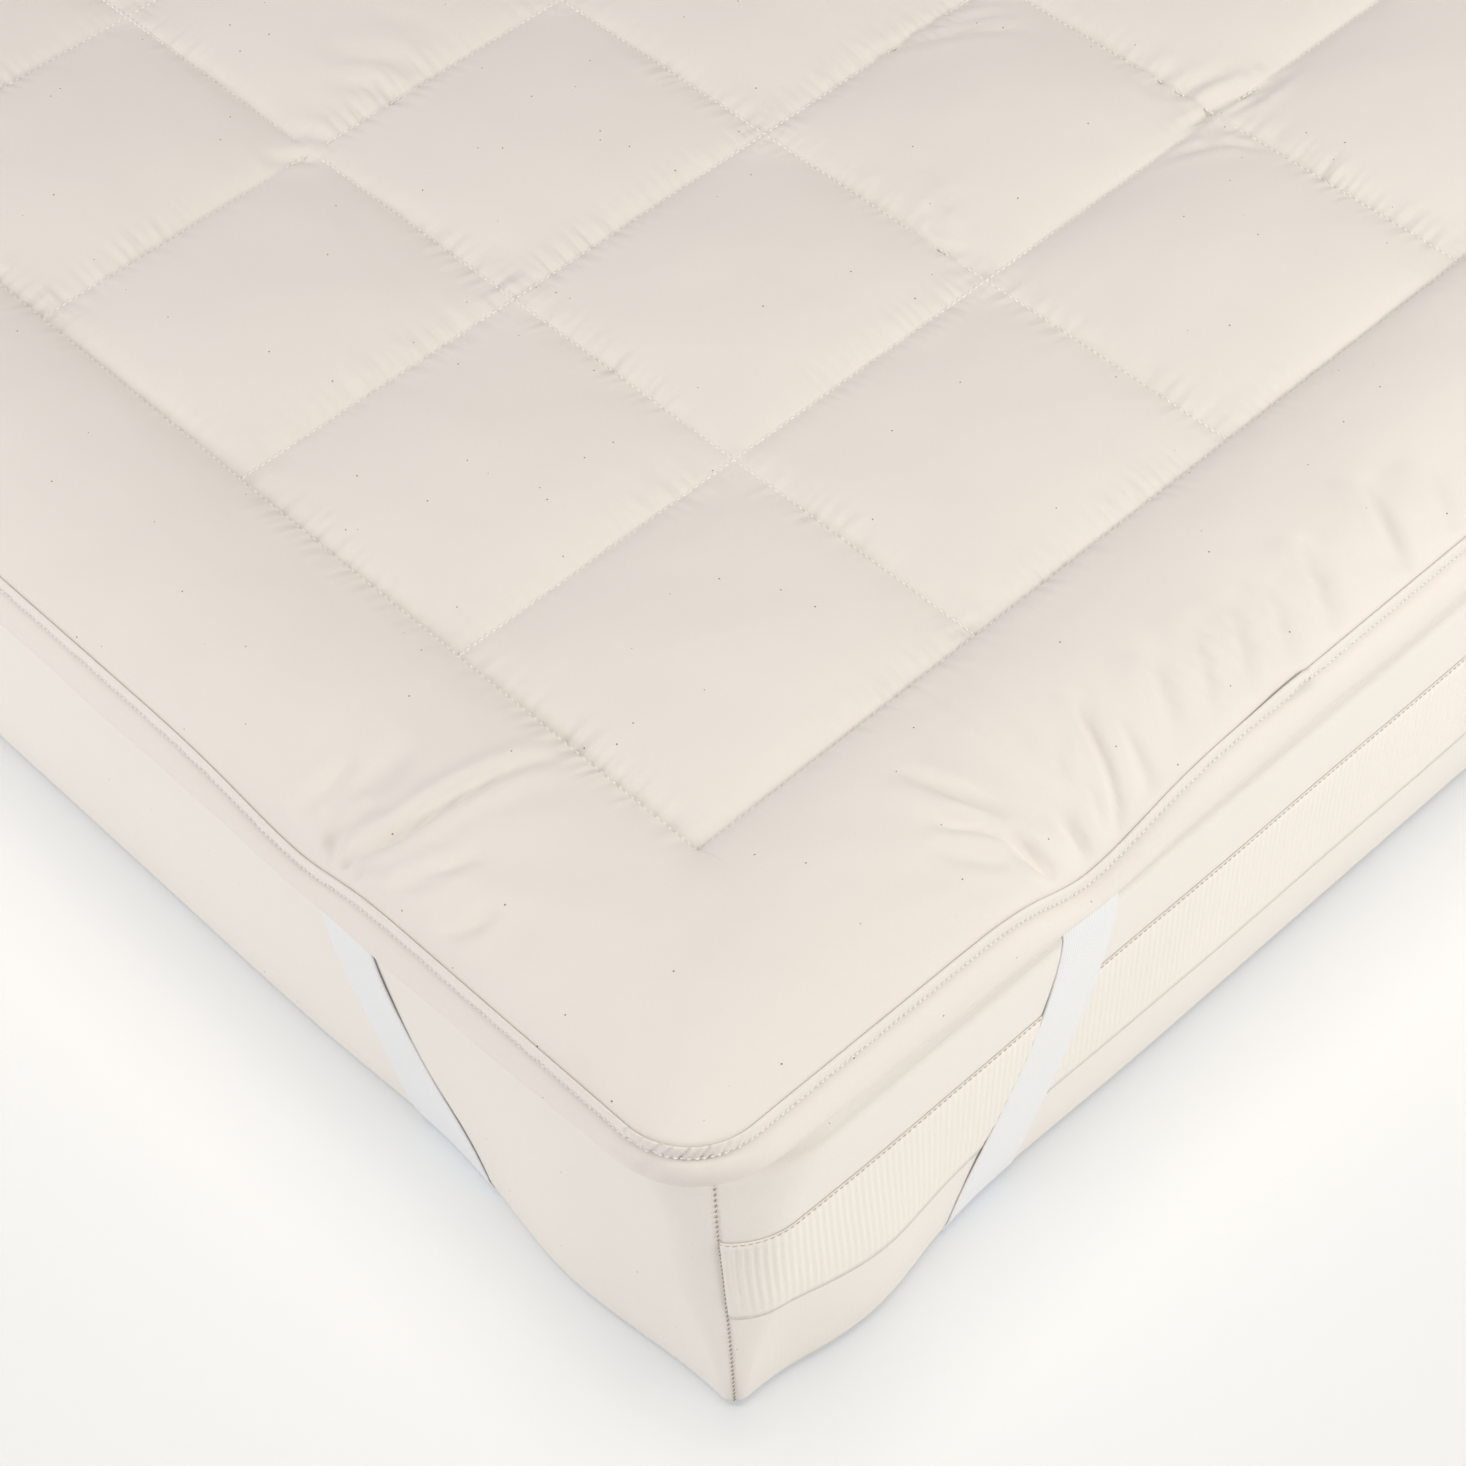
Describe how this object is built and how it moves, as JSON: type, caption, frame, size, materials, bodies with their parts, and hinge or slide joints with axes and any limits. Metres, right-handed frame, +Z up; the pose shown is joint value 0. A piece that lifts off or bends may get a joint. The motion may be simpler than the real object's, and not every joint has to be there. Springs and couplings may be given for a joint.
{
  "type": "quilted mattress pad on a mattress",
  "caption": "Box-quilted cotton mattress pad with a taped edge and elastic corner straps, fitted on a plain mattress.",
  "frame": {"origin": "middle of the underside, on the surface that the mattress lies on", "axes": "+X along the long side, +Z up, the two ribbed-band ends face +X and -X"},
  "size_m": [2.018, 1.4238, 0.2545],
  "materials": {
    "pad_cotton": "unbleached cotton, matt, with sparse fine flecks",
    "binding": "folded cotton tape, matt",
    "elastic": "white woven elastic, matt",
    "mattress_cover": "off-white knitted cover, matt, with ribbed bands on the ends"
  },
  "bodies": {
    "root": {"pad": "pad_cotton", "binding_tape": "binding", "corner_strap_1": "elastic", "corner_strap_2": "elastic", "corner_strap_3": "elastic", "corner_strap_4": "elastic", "mattress": "mattress_cover"}
  },
  "joints": []
}
